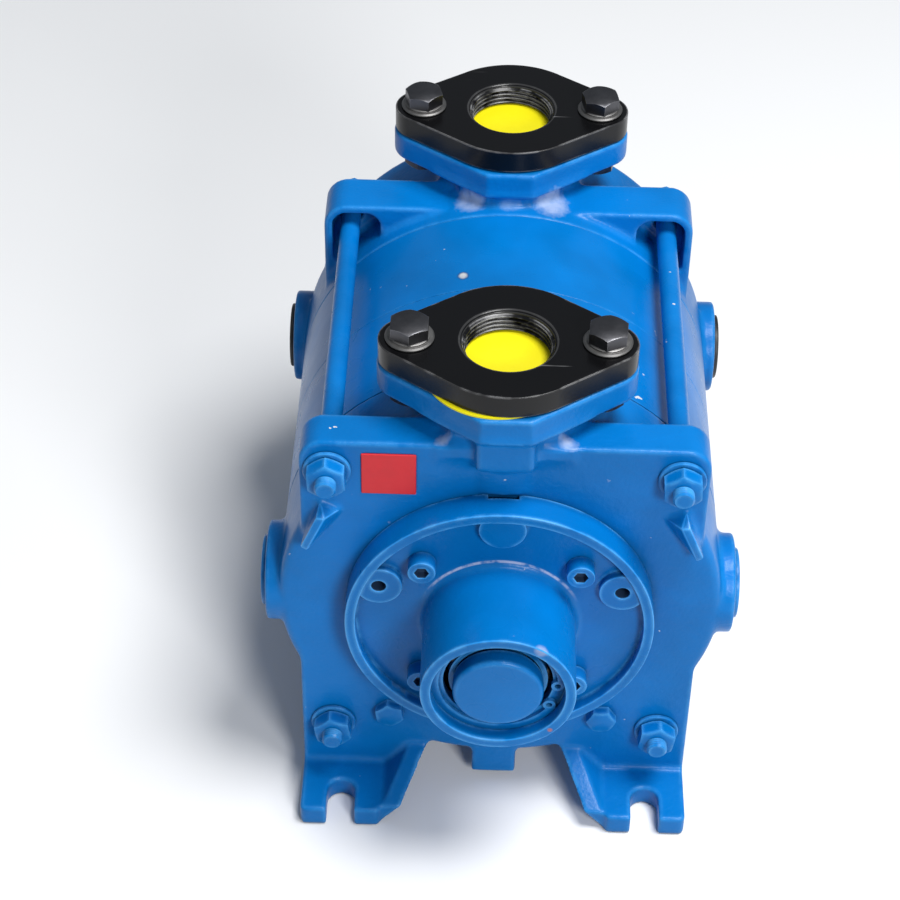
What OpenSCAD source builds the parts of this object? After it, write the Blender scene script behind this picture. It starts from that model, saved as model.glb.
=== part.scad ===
// Two-stage liquid ring vacuum pump on four slotted feet.
// X runs across the pump, Y along the shaft towards the drive end, and Z up.
// The origin lies on the base plane, under the shaft, half way between the casings.

/* [Casings] */
// Height of the shaft axis above the base
axis_h = 126; // [122:1:136]
// Outer diameter of the casings and body rings
drum_d = 211; // [201:1:221]
// Outer diameter of the rear casing behind its tie rod plate
rear_drum_d = 200; // [190:1:208]
// Rounding of the casings' outer edges
drum_edge = 4; // [2:0.5:8]
// Length of the front casing along the shaft
front_casing_l = 51.5; // [48.5:0.5:56]
// Length of the rear casing along the shaft
rear_casing_l = 79.5; // [76:0.5:84]
// Length of a body ring along the shaft
ring_l = 58.5; // [56:0.5:70]
// Wall of a body ring before its bore is dropped
ring_wall = 17.5; // [16.5:0.5:18.5]
// Drop of the body rings' bore below the shaft axis
ring_drop = 7; // [5:0.5:8]
// Thickness of a casing's end wall
face_wall = 14; // [12:0.5:16]
// Wall of a casing around its chamber
chamber_wall = 7; // [6:0.5:11]
// Outer diameter of the seal tube inside a casing
seal_tube_d = 84; // [80:1:90]

/* [Tie rod plates] */
// Distance of a plate's side edge from its tie rod
plate_side = 13; // [10.5:0.5:15.5]
// Thickness of the front tie rod plate and the legs
plate_t = 20; // [18:1:24]
// Thickness of the rear tie rod plate
rear_plate_t = 25.5; // [22:0.5:28]
// Height of a plate's top edge above its upper tie rods
plate_rise = 16.2; // [13.2:0.2:19.2]
// Distance of the rear plate from the rear seam
rear_plate_set = 9.5; // [8:0.5:16]
// Corner radius of a plate
plate_r = 12; // [8:1:16]
// Wall of the hood around each upper tie rod
hood_wall = 4; // [3.5:0.5:7]
// Thickness of the wall that a tie rod nut bears on
nut_wall = 9; // [7:0.5:12]
// Distance of a pocket's inner edge from its tie rod
pocket_in = 15.5; // [10.5:0.5:20.5]
// Distance of a pocket's lower edge below its tie rod
pocket_drop = 18.8; // [15:0.2:29.8]
// Diameter of the rear casing's lower tie rod lugs
lug_d = 34; // [32:1:36]

/* [Feet] */
// Distance of a foot slot inwards from the tie rod above it
foot_inset = 4.5; // [0.5:0.5:6.5]
// Width of a foot
foot_w = 40; // [36:1:44]
// Thickness of a foot
foot_t = 12; // [10:0.5:16]
// Reach of a foot beyond the casing's end face
foot_reach = 33.5; // [29:0.5:45]
// Width of a foot's open slot
slot_w = 14; // [12:0.5:16]
// Length of a foot's open slot
slot_l = 20; // [16:1:24]
// Corner radius of a foot
foot_r = 3; // [1:0.5:5]
// Half width of the arch between the legs at its top
arch_x = 33; // [28:1:36]
// Height of the arch at the casing's end face
arch_z = 26; // [25:0.5:30]
// Height of the legs' outer edge
leg_h = 90; // [84:1:110]
// Thickness of a leg and its sloping web
web_t = 7; // [5:0.5:9]
// Width of the tab under the casing
tab_w = 22; // [16:1:26]
// Clearance of the tab above the base
tab_z = 5; // [4.5:0.5:8]
// Thickness of the tab under the casing
tab_t = 10; // [8:1:14]

/* [Ports] */
// Distance of a port's axis from its casing's end face
port_set = 31.5; // [31:0.5:33]
// Height of a cast flange's face above the drum
port_rise = 19.7; // [16.5:0.1:26.5]
// Bore of a port
port_bore = 30; // [24:1:31]
// Diameter of a port's neck under its flange
neck_d = 56; // [50:1:62]
// Diameter of the swelling in the casing below a neck
neck_root_d = 68; // [66:1:72]
// Thickness of a cast flange
cast_t = 13.5; // [12:0.5:16]
// Width of the flat on a cast flange's front
cast_flat = 23; // [18:1:30]
// Margin of a cast flange in front of and behind the companion flange
cast_margin = 2; // [1:0.5:4]
// Margin of a cast flange at the companion flange's rounded ends
cast_end_margin = 0.5; // [0.5:0.5:3]
// Bolt spacing of a companion flange
flange_span = 88.9; // [86:0.1:94]
// Middle diameter of a companion flange
flange_d = 80; // [76:1:84]
// Diameter of a companion flange's rounded ends
flange_end_d = 28.6; // [27:0.1:32]
// Thickness of a companion flange
flange_t = 11.5; // [10:0.5:14]
// Thread diameter of a companion flange
thread_d = 41.9; // [38:0.1:44]
// Chamfer at a companion flange's thread mouth
thread_chamfer = 1.2; // [0.5:0.1:2]
// Diameter of a yellow port disc
disc_d = 66; // [62:1:68]
// Thickness of a yellow port disc
disc_t = 0.8; // [0.5:0.1:1.5]
// Sideways shift of the front port disc
disc_shift_x = 4.9; // [0:0.1:5.5]
// Forward shift of the front port disc
disc_shift_y = 7.5; // [0:0.1:9]
// Width of the pad under the front cast flange
pad_w = 24; // [16:1:30]
// Reach of that pad in front of the casing's face
pad_reach = 7; // [4:0.5:8]
// Height of that pad below the cast flange
pad_h = 17; // [10:1:20]

/* [Side ports] */
// Diameter of a side boss
boss_d = 48; // [42:1:48]
// Distance of a side boss's face beyond the drum
boss_out = 6.5; // [2.5:0.5:10.5]
// Distance of the front side bosses' axis from the casing's end face
front_boss_set = 24.2; // [24.2:0.1:26]
// Distance of the rear side bosses' axis from the casing's end face
rear_boss_set = 44; // [36:1:50]
// Drop of a side boss's axis below the shaft axis
boss_drop = 4; // [0:1:10]
// Thread diameter of a side port
side_thread_d = 26; // [20:0.5:32]
// Rim of a side port's plug around its thread
side_plug_rim = 4; // [2:0.5:6]
// Thickness of a side port plug's head
side_plug_t = 2.5; // [1.5:0.5:5]
// Length of a side port plug's thread
side_plug_l = 12; // [8:1:16]

/* [Tie rods] */
// Distance of the tie rods inwards from the drum's side
rod_inset = 25; // [23.5:0.5:26.5]
// Gap between a tie rod and the drum
rod_gap = 6.4; // [5.6:0.2:7.2]
// Gap between a tie rod's washer and the rear drum
washer_gap = 2.5; // [2:0.5:6]
// Diameter of a tie rod
rod_d = 10; // [8:0.5:11]
// Length of a tie rod in front of the front plate
rod_out = 15; // [13:0.5:22]
// Length of a tie rod behind the rear plate
rod_tail = 12; // [12:0.5:22]
// Across-flats size of a tie rod nut
nut_af = 17; // [16:0.5:18]
// Height of a tie rod nut
nut_h = 8; // [6:0.5:9]
// Diameter of a tie rod washer
washer_d = 22; // [20:0.5:24]
// Thickness of a tie rod washer
washer_t = 2; // [1.5:0.1:3]

/* [Flange bolts] */
// Diameter of a flange bolt
bolt_d = 10; // [8:0.5:11]
// Across-flats size of a flange bolt's head and nut
bolt_af = 17; // [16:0.5:18]
// Height of a flange bolt's head
bolt_head_h = 6.4; // [5:0.1:8]
// Height of a flange bolt's nut
bolt_nut_h = 8; // [6:0.5:9]
// Length of a flange bolt beyond its nut
bolt_out = 2; // [1:0.5:3]
// Diameter of a flange bolt's washer
bolt_washer_d = 22.5; // [20:0.5:25]
// Diameter of that washer's upper face
bolt_washer_top = 19; // [18:0.5:21]
// Thickness of that washer
bolt_washer_t = 2.6; // [2:0.1:3.5]

/* [Bearing housings] */
// Outer diameter of a bearing housing's rim
rim_d = 146; // [140:1:150]
// Width of the rim
rim_w = 5; // [4:0.5:7]
// Height of the rim above the casing's face
rim_h = 15; // [13:0.5:18]
// Thickness of the housing's flange inside the rim
floor_t = 9; // [8:0.5:11]
// Outer diameter of the bearing tube
tube_d = 72; // [71:0.5:76]
// Distance of the tube's mouth from the casing's face
tube_l = 57.5; // [54:0.5:64]
// Fillet at the tube's base
tube_fillet = 4; // [2:0.5:6]
// Diameter of the spigot that centres the housing
spigot_d = 68; // [64:1:72]
// Length of that spigot
spigot_l = 10; // [9:0.5:12]
// Bolt circle of the housing screws
screw_pcd = 104; // [98:1:110]
// Thread diameter of a housing screw
screw_d = 8; // [6:0.5:9]
// Head diameter of a housing screw
screw_head_d = 13; // [12:0.5:15]
// Head height of a housing screw
screw_head_h = 8; // [6:0.5:9]
// Across-flats size of a housing screw's socket
socket_af = 6; // [5:0.5:7]
// Depth of a housing screw's socket
socket_l = 4; // [3:0.5:5]
// Thread length of a housing screw in the casing
screw_grip = 11; // [8:0.5:12]
// Radius at which the jacking lugs stand
jack_r = 61.5; // [58:0.5:64]
// Diameter of a jacking lug
jack_boss_d = 22; // [18:1:24]
// Height of a jacking lug above the housing's floor
jack_boss_h = 4; // [2:0.5:5]
// Diameter of a jacking hole
jack_d = 6.8; // [5:0.1:8.5]
// Angle of the side jacking lugs above the horizontal
jack_angle = 22.5; // [10:0.5:28]
// Width of the pry notch at the back of the rim
notch_w = 14; // [8:1:20]
// Depth of the pry notch
notch_t = 3; // [2:0.5:4]

/* [Bearings] */
// Outer diameter of a bearing
bearing_d = 62; // [60:1:63]
// Bore of a bearing
bearing_bore = 25; // [22:0.5:26]
// Width of a bearing
bearing_w = 17; // [15:0.5:19]
// Thickness of a bearing race
race_t = 5.5; // [5:0.1:6]
// Width of a ball cage
cage_w = 14; // [12.5:0.5:15]
// Radial thickness of a ball cage
cage_t = 2.4; // [1.5:0.1:3]
// Diameter of a bearing ball
ball_d = 11.2; // [10:0.1:11.6]
// Distance of the circlip groove from the tube's mouth
clip_set = 7; // [5:0.5:9]
// Thickness of a bearing circlip
clip_t = 2; // [1.5:0.1:2.5]
// Depth of a circlip in its groove
clip_bite = 1.5; // [1:0.1:2]
// Radial width of a circlip
clip_w = 5; // [4:0.1:5.5]
// Diameter of the shaft end cap
cap_d = 42; // [38:0.5:44]
// Depth of the cap's face behind the tube's mouth
cap_sink = 0.5; // [0.5:0.5:3]
// Thickness of the cap's end
cap_end = 4; // [3:0.5:5]
// Rounding of the cap's edge
cap_edge = 2; // [1:0.5:3]

/* [Shaft] */
// Shaft diameter under the seals
seal_d = 28; // [27:0.5:30]
// Shaft diameter under the impellers
seat_d = 34; // [33:0.5:36]
// Diameter of the shaft's threaded front end
stub_d = 20; // [16:0.5:21]
// Diameter of the drive end
drive_d = 24; // [20:0.5:24.5]
// Length of the drive end beyond the rear housing
drive_l = 50; // [40:1:70]
// Width of the drive end's keyway
keyway_w = 8; // [6:0.5:10]
// Depth of the drive end's keyway
keyway_t = 4; // [3:0.5:5]
// Length of the drive end's keyway
keyway_l = 22; // [18:1:22]
// Distance of that keyway from the shaft's end
keyway_set = 2.5; // [2:0.5:3]
// Width of an impeller key
key_w = 10; // [8:0.5:12]
// Height of an impeller key
key_t = 8; // [6:0.5:9]
// Length of an impeller key
key_l = 44; // [30:1:48]

/* [Stages] */
// Gap between an impeller and the top of its ring's bore
tip_gap = 2; // [1.5:0.5:8]
// Diameter of an impeller's hub
hub_d = 72; // [64:1:80]
// Number of impeller vanes
vanes = 12; // [8:1:16]
// Thickness of an impeller vane
vane_t = 4; // [3:0.5:6]
// Backward sweep of a vane in degrees
vane_sweep = 24; // [0:1:40]
// Thickness of a port plate
port_plate_t = 8; // [6:0.5:9]
// Wall around the seats of the port plates and the mid plate
seat_wall = 7.5; // [7:0.25:8.5]
// Thickness of the mid plate
mid_t = 10; // [8:0.5:14]
// Diameter of the shaft opening in a port plate
port_plate_hole = 50; // [48:1:54]
// Outer diameter of the spacer between the impellers
spacer_d = 46; // [42:1:50]
// Thickness of an impeller circlip
hub_clip_t = 2; // [1.5:0.1:3]
// Depth of an impeller circlip in its groove
hub_clip_bite = 1; // [0.5:0.1:1.5]
// Outer diameter of an impeller circlip
hub_clip_d = 44; // [42:0.5:46]

/* [Shaft seals] */
// Gap between the shaft and a seal seat
shaft_gap = 1; // [0.5:0.1:1.5]
// Outer diameter of a seal seat
seal_seat_d = 48; // [46:0.5:50]
// Length of a seal seat
seal_seat_l = 9; // [7:0.5:9]
// Outer diameter of a seal head
seal_head_d = 44; // [42:0.5:46]
// Length of a seal head
seal_head_l = 10; // [8:0.5:12]
// Length of a seal spring
seal_spring_l = 20; // [18:0.5:24]
// Wire diameter of a seal spring
seal_wire = 2.2; // [1.6:0.1:2.4]
// Turns of a seal spring
seal_turns = 5; // [3:0.5:6]
// Section of the O-rings
o_ring_d = 2.6; // [2:0.1:2.8]

/* [Face details] */
// Width of the red pad on the front face
badge_w = 25; // [20:1:30]
// Height of the red pad
badge_h = 24; // [18:1:27]
// Thickness of the red pad
badge_t = 1.6; // [1.2:0.1:3]
// Depth of the recess that holds the red pad
badge_sink = 1; // [0.5:0.1:1]
// Distance of the red pad's middle inwards from the tie rod
badge_in = 28; // [25.5:0.5:30.5]
// Distance of the red pad's middle below its plate's top edge
badge_drop = 18; // [17:0.5:19]
// Distance of a drain plug from the middle of the pump
plug_x = 52.5; // [48:0.5:56]
// Distance of a drain plug's middle from the drum's edge
plug_edge = 7.6; // [6.4:0.2:9]
// Across-flats size of a drain plug's head
plug_af = 13; // [10:0.5:14]
// Height of a drain plug's head
plug_h = 5; // [3:0.5:7]
// Thread diameter of a drain plug
plug_d = 8; // [6:0.5:9]
// Height of the slanted lugs in front of the face
wedge_h = 9; // [6:0.5:11]

/* [Clearances] */
// Radial play of a seated round fit
fit = 0.05; // [0.02:0.01:0.1]
// Gap between parts that turn past each other
run = 0.3; // [0.2:0.05:0.5]
// Radial play of a bolt in its hole
hole_play = 0.5; // [0.3:0.1:0.8]

/* [Hidden] */
$fn = 96;
eps = 0.5;
tuck = 0.05;
drum_r = drum_d / 2;
rear_drum_r = rear_drum_d / 2;
ring_bore = drum_d - 2 * ring_wall;
chamber_d = 2 * (min(drum_r, rear_drum_r) - chamber_wall);
impeller_d = ring_bore - 2 * ring_drop - 2 * tip_gap;
inner_plate_r = drum_r - seat_wall;
rod_x = drum_r - rod_inset;
rod_reach = max(drum_r + rod_d / 2 + rod_gap, rear_drum_r + washer_d / 2 + washer_gap);
rod_h = sqrt(rod_reach * rod_reach - rod_x * rod_x);
plate_w = 2 * (rod_x + plate_side);
plate_top = rod_h + plate_rise;
pocket_x = rod_x - pocket_in;
pocket_low = rod_h - pocket_drop;
port_h = max(drum_r, rear_drum_r) + port_rise;
plug_reach = min(drum_r, rear_drum_r) - plug_edge;
plug_down = sqrt(plug_reach * plug_reach - plug_x * plug_x);
badge_x = rod_x - badge_in;
badge_up = plate_top - badge_drop;
boss_x = drum_r + boss_out;
bore_z = axis_h - ring_drop;
face_y = ring_l + (front_casing_l + rear_casing_l) / 2;
front_y = -face_y;
front_seam = front_y + front_casing_l;
mid_y = front_seam + ring_l;
rear_seam = mid_y + ring_l;
plate_z = axis_h + plate_top;
rear_plate_front = rear_seam + rear_plate_set;
rear_plate_back = rear_plate_front + rear_plate_t;
foot_x = rod_x - foot_inset;
foot_in = foot_x - foot_w / 2;
foot_out = foot_x + foot_w / 2;
web_across = web_t * norm([foot_in - arch_x, arch_z]) / arch_z;
port_y = face_y - port_set;
cast_z = axis_h + port_h;
flange_z = cast_z + disc_t;
flange_top = flange_z + flange_t;
bolt_x = flange_span / 2;
bolt_hole_r = bolt_d / 2 + hole_play;
rod_zs = [axis_h + rod_h, axis_h - rod_h];
rod_hole_r = rod_d / 2 + hole_play;
rod_front = front_y - rod_out;
rod_rear = rear_plate_back + rod_tail;
boss_z = axis_h - boss_drop;
bearing_r = bearing_d / 2;
clip_front = tube_l - clip_set;
race_front = clip_front - clip_t;
race_back = race_front - bearing_w;
ball_ring_r = (bearing_d + bearing_bore) / 4;
ball_count = 7;
vane_steps = 6;
vane_curve = 1.4;
seal_start = spigot_l;
head_front = seal_start + run / 3;
head_back = head_front + seal_head_l;
shoulder = head_back + seal_spring_l;
hub_front = mid_y - ring_l + run;
hub_back = mid_y - mid_t / 2 - run;
o_groove = o_ring_d + 2 * fit;
body_o_r = (inner_plate_r + fit + drum_r) / 2;
tube_r = tube_d / 2;
rim_r = rim_d / 2;
thread_r = thread_d / 2;
stub_front = front_y - tube_l + cap_sink + cap_end;
spring_r = seal_d / 2 + seal_wire / 2 + run;
// Corners of a slanted lug at the face and at its front, from the tie rod above it
wedge_base = [[-6.5, -24.3], [3.5, -18.8], [11, -37.3], [7, -43.3]];
wedge_tip = [[1, -22.8], [5, -22.3], [12.5, -40.8], [9.5, -42.8]];
cast_blue = "royalblue";

// Shared helpers

// A round bar along Y from y0 to y1
module bar_y(y0, y1, r, x = 0, z = axis_h) {
  translate([x, y0, z]) rotate([-90, 0, 0]) cylinder(r = r, h = y1 - y0);
}

// A ring around the shaft axis from y0 to y1
module ring_y(y0, y1, r_in, r_out, z = axis_h) {
  difference() {
    bar_y(y0, y1, r_out, 0, z);
    bar_y(y0 - eps, y1 + eps, r_in, 0, z);
  }
}

// An outline drawn in X and Z, given thickness from y0 to y1
module slab_y(y0, y1) {
  translate([0, y1, 0]) rotate([90, 0, 0]) linear_extrude(y1 - y0) children();
}

// A solid of revolution about Y: the outline's second axis runs along +Y from y0
module turned_y(y0, z = axis_h) {
  translate([0, y0, z]) rotate([-90, 0, 0]) rotate_extrude() children();
}

// A hexagon of a given size across flats
module hexagon(af) {
  circle(d = af / cos(30), $fn = 6);
}

// A torus around the shaft axis
module torus_y(y, r, section_d, z = axis_h) {
  turned_y(y, z) translate([r, 0]) circle(d = section_d, $fn = 24);
}

// Puts its children on the right and mirrors them to the left
module both_sides() {
  for (side = [0, 1]) mirror([side, 0, 0]) children();
}

// Puts its children at the front, or mirrors them to the drive end
module at_end(rear) {
  mirror([0, rear ? 1 : 0, 0]) children();
}

// Puts its children in the front stage, or mirrors them into the rear one
module at_stage(rear) {
  translate([0, mid_y, 0]) mirror([0, rear ? 1 : 0, 0]) translate([0, -mid_y, 0]) children();
}

// Casings

// The drum of a casing, with its outer edge rounded
module drum(r, length) {
  turned_y(front_y) {
    square([r - drum_edge, length]);
    translate([0, drum_edge]) square([r, length - drum_edge]);
    translate([r - drum_edge, drum_edge]) circle(drum_edge);
  }
}

// Outline of a tie rod plate above the shaft axis
module plate_outline() {
  half = plate_w / 2;
  translate([-half, axis_h]) square([plate_w, plate_top - plate_r]);
  translate([plate_r - half, axis_h]) square([plate_w - 2 * plate_r, plate_top]);
  both_sides() translate([half - plate_r, plate_z - plate_r]) circle(plate_r);
}

// Outline of the pocket under one hood
module pocket_outline() {
  right = plate_w / 2 - hood_wall;
  top = plate_z - hood_wall;
  low = axis_h + pocket_low;
  corner = max(plate_r - hood_wall, 1);
  translate([pocket_x, low]) square([right - pocket_x, top - low - corner]);
  translate([pocket_x + corner, low]) square([right - pocket_x - 2 * corner, top - low]);
  for (x = [pocket_x + corner, right - corner]) translate([x, top - corner]) circle(corner);
}

// Tie rod plate with a pocket behind each upper rod's wall
module hooded_plate(y0, y1, pocket_y0, pocket_y1) {
  difference() {
    slab_y(y0, y1) plate_outline();
    both_sides() slab_y(pocket_y0, pocket_y1) pocket_outline();
  }
}

// Outline of one leg
module leg_outline() {
  polygon([[foot_in, 0], [foot_out, 0], [foot_out, leg_h], [arch_x, leg_h], [arch_x, arch_z]]);
}

// Outline of one foot seen from above, with its open slot
module foot_outline() {
  toe = front_y - foot_reach;
  depth = foot_reach + plate_t;
  difference() {
    union() {
      translate([foot_in, toe + foot_r]) square([foot_w, depth - foot_r]);
      translate([foot_in + foot_r, toe]) square([foot_w - 2 * foot_r, depth]);
      for (x = [foot_in + foot_r, foot_out - foot_r]) translate([x, toe + foot_r]) circle(foot_r);
    }
    translate([foot_x - slot_w / 2, toe - eps]) square([slot_w, slot_l - slot_w / 2 + eps]);
    translate([foot_x, toe + slot_l - slot_w / 2]) circle(slot_w / 2);
  }
}

// Sloping web between a leg and its foot's inner edge, cut back from the toe up to the face
module web() {
  toe = front_y - foot_reach + foot_r;
  back = front_y + eps;
  intersection() {
    slab_y(toe, back)
      polygon([[arch_x, arch_z], [foot_in, 0], [foot_in + web_across, 0], [arch_x + web_across, arch_z]]);
    rotate([90, 0, 90]) linear_extrude(foot_out)
      polygon([[back, 0], [toe, 0], [toe, foot_t], [front_y, arch_z], [back, arch_z]]);
  }
}

// One leg with its foot and the sloping web in front of it
module leg() {
  slab_y(front_y, front_y + plate_t) leg_outline();
  linear_extrude(foot_t) foot_outline();
  web();
}

// Tangent point on a circle at (cx, 0) of the line from a point above and to its left
function tangent_angle(p, cx, r) = atan2(p[1], p[0] - cx) - acos(r / norm([p[0] - cx, p[1]]));
function on_circle(cx, r, a) = [cx + r * cos(a), r * sin(a)];

// Outline of a cast flange: flat front and back, rounded ends
module cast_flange_outline() {
  end_r = flange_end_d / 2 + cast_end_margin;
  corner = [cast_flat / 2, flange_d / 2 + cast_margin];
  touch = on_circle(bolt_x, end_r - tuck, tangent_angle(corner, bolt_x, end_r));
  both_sides() {
    polygon([[0, corner[1]], corner, touch, [touch[0], -touch[1]], [corner[0], -corner[1]],
      [0, -corner[1]]]);
    translate([bolt_x, 0]) circle(end_r);
  }
}

// A port's neck with its cast flange; the neck starts above the bearing housing and ends at the seam
module port(length) {
  root_z = rim_r + run;
  intersection() {
    translate([0, -port_y, axis_h]) {
      translate([0, 0, root_z]) cylinder(d = neck_root_d, h = drum_r - drum_edge - root_z);
      translate([0, 0, root_z]) cylinder(d = neck_d, h = port_h - cast_t / 2 - root_z);
    }
    translate([-neck_root_d, front_y - neck_root_d, 0])
      cube([2 * neck_root_d, neck_root_d + length, cast_z]);
  }
  translate([0, -port_y, cast_z - cast_t]) linear_extrude(cast_t) cast_flange_outline();
}

// Passages cut out of a casing: port, flange bolt holes, chamber, seal bore and plate seat
module casing_cuts(length, boss_set) {
  plate_seat = length - port_plate_t;
  bore_start = (seal_tube_d + chamber_d) / 4;
  translate([0, -port_y, axis_h + bore_start]) cylinder(d = port_bore, h = port_h - bore_start + eps);
  both_sides() translate([bolt_x, -port_y, cast_z - cast_t - eps])
    cylinder(r = bolt_hole_r, h = cast_t + 2 * eps);
  difference() {
    bar_y(front_y + face_wall, front_y + plate_seat + eps, chamber_d / 2);
    bar_y(front_y, front_y + plate_seat + 2 * eps, seal_tube_d / 2);
  }
  bar_y(front_y + plate_seat, front_y + length + eps, inner_plate_r + fit);
  bar_y(front_y - eps, front_y + spigot_l + run, spigot_d / 2 + fit);
  bar_y(front_y + spigot_l, front_y + plate_seat + eps, seal_seat_d / 2 + run);
  screw_places() bar_y(front_y - eps, front_y + screw_grip + run, screw_d / 2 + fit, 0, 0);
  both_sides() {
    bar_y(front_y - eps, front_y + face_wall + eps, plug_d / 2 + fit, plug_x, axis_h - plug_down);
    side_bar(boss_set, chamber_d / 2 - side_plug_l, boss_x + eps, side_thread_d + 2 * fit);
  }
}

// A round bar across the pump at a side boss, from x0 to x1
module side_bar(boss_set, x0, x1, d) {
  translate([x0, front_y + boss_set, boss_z]) rotate([0, 90, 0]) cylinder(d = d, h = x1 - x0);
}

// Side bosses of a casing, and the tab under its face
module casing_bosses(boss_set) {
  both_sides() side_bar(boss_set, chamber_d / 2 - side_plug_l, boss_x, boss_d);
  translate([-tab_w / 2, front_y, tab_z]) cube([tab_w, tab_t, axis_h - tab_z]);
}

// Slanted lug below an upper tie rod, wider at the face than at its front
module wedge_lug() {
  hull() {
    slab_y(front_y, front_y + eps)
      polygon([for (p = wedge_base) [rod_x + p[0], axis_h + rod_h + p[1]]]);
    slab_y(front_y - wedge_h, front_y - wedge_h + eps)
      polygon([for (p = wedge_tip) [rod_x + p[0], axis_h + rod_h + p[1]]]);
  }
}

module front_casing() {
  color(cast_blue) difference() {
    union() {
      drum(drum_r, front_casing_l);
      hooded_plate(front_y, front_y + plate_t, front_y + nut_wall, front_y + plate_t + eps);
      both_sides() leg();
      port(front_casing_l);
      casing_bosses(front_boss_set);
      both_sides() wedge_lug();
      translate([-pad_w / 2, front_y - pad_reach, cast_z - cast_t - pad_h])
        cube([pad_w, pad_reach + face_wall, pad_h + eps]);
    }
    casing_cuts(front_casing_l, front_boss_set);
    both_sides() for (z = rod_zs) bar_y(front_y - eps, front_y + plate_t + eps, rod_hole_r, rod_x, z);
    badge_block(front_y - eps, front_y + badge_sink, fit);
  }
}

module rear_casing() {
  color(cast_blue) difference() {
    union() {
      at_end(true) {
        drum(rear_drum_r, rear_casing_l - eps);
        both_sides() leg();
        port(rear_casing_l);
        casing_bosses(rear_boss_set);
      }
      bar_y(rear_seam, rear_plate_back, drum_r);
      hooded_plate(rear_plate_front, rear_plate_back, rear_plate_front - eps, rear_plate_back - nut_wall);
      both_sides() bar_y(rear_plate_front, rear_plate_back, lug_d / 2, rod_x, rod_zs[1]);
    }
    at_end(true) casing_cuts(rear_casing_l, rear_boss_set);
    both_sides() for (z = rod_zs)
      bar_y(rear_plate_front - eps, rear_plate_back + eps, rod_hole_r, rod_x, z);
  }
}

// Body rings

// A body ring of the front stage, with its eccentric bore, mid plate seat and O-ring grooves
module body_ring(has_mid_groove) {
  color(cast_blue) difference() {
    bar_y(front_seam, mid_y, drum_r);
    bar_y(front_seam - eps, mid_y + eps, ring_bore / 2, 0, bore_z);
    bar_y(mid_y - mid_t / 2, mid_y + eps, inner_plate_r + fit);
    ring_y(front_seam - eps, front_seam + o_groove, body_o_r - o_groove / 2, body_o_r + o_groove / 2);
    if (has_mid_groove)
      ring_y(mid_y - o_groove, mid_y + eps, body_o_r - o_groove / 2, body_o_r + o_groove / 2);
  }
}

module front_body_ring() { body_ring(true); }

module rear_body_ring() { at_stage(true) body_ring(false); }

module body_o_rings() {
  color("dimgray") {
    for (rear = [false, true]) at_stage(rear) torus_y(front_seam + o_groove / 2, body_o_r, o_ring_d);
    torus_y(mid_y - o_groove / 2, body_o_r, o_ring_d);
  }
}

// Port plates and mid plate

// A kidney-shaped opening between two radii and two angles
module kidney(r_in, r_out, a0, a1) {
  reach = 2 * r_out;
  intersection() {
    difference() {
      circle(r_out);
      circle(r_in);
    }
    polygon([[0, 0], reach * [cos(a0), sin(a0)], reach * [cos((a0 + a1) / 2), sin((a0 + a1) / 2)],
      reach * [cos(a1), sin(a1)]]);
  }
}

module port_plate() {
  r_in = hub_d / 2 + vane_t;
  r_out = impeller_d / 2 - 2 * vane_t;
  color("peru") difference() {
    bar_y(front_seam - port_plate_t, front_seam, inner_plate_r);
    bar_y(front_y, mid_y, port_plate_hole / 2);
    slab_y(front_y, mid_y) translate([0, axis_h]) {
      kidney(r_in, r_out, 100, 190);
      kidney(r_in, r_out, 20, 60);
    }
  }
}

module front_port_plate() { port_plate(); }

module rear_port_plate() { at_stage(true) port_plate(); }

module mid_plate() {
  color("peru") difference() {
    bar_y(mid_y - mid_t / 2, mid_y + mid_t / 2, inner_plate_r);
    bar_y(mid_y - mid_t, mid_y + mid_t, spacer_d / 2 + run);
    slab_y(mid_y - mid_t, mid_y + mid_t) translate([0, axis_h])
      kidney(hub_d / 2 + vane_t, impeller_d / 2 - 2 * vane_t, -60, -20);
  }
}

// Rotor

// Outline of one swept vane, starting inside the hub
function vane_side(side, order) = [for (i = order)
  let (t = i / vane_steps, root = hub_d / 2 - vane_t, r = root + t * (impeller_d / 2 - root),
    a = vane_sweep * pow(t, vane_curve) + side * vane_t / 2 / r * 180 / PI)
  r * [cos(a), sin(a)]];

module impeller_outline() {
  circle(hub_d / 2);
  for (i = [0 : vanes - 1]) rotate(i * 360 / vanes)
    polygon(concat(vane_side(-1, [0 : vane_steps]), vane_side(1, [vane_steps : -1 : 0])));
}

// Keyed impeller of the front stage
module impeller() {
  color("tan") difference() {
    slab_y(hub_front, hub_back) translate([0, axis_h]) impeller_outline();
    bar_y(front_seam, mid_y, seat_d / 2);
    impeller_key(fit);
  }
}

module impeller_key(play) {
  y_mid = (hub_front + hub_back) / 2;
  translate([-key_w / 2 - play, y_mid - key_l / 2 - play, axis_h + seat_d / 2 - key_t / 2 - play])
    cube([key_w + 2 * play, key_l + 2 * play, key_t + 2 * play]);
}

module front_impeller() { impeller(); }

module rear_impeller() { at_stage(true) impeller(); }

module impeller_keys() {
  color("silver") for (rear = [false, true]) at_stage(rear) impeller_key(0);
}

module impeller_spacer() {
  color("silver") ring_y(hub_back, 2 * mid_y - hub_back, seat_d / 2, spacer_d / 2);
}

module impeller_circlips() {
  color("dimgray") for (rear = [false, true]) at_stage(rear)
    ring_y(hub_front - hub_clip_t, hub_front, seat_d / 2 - hub_clip_bite, hub_clip_d / 2);
}

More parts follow.
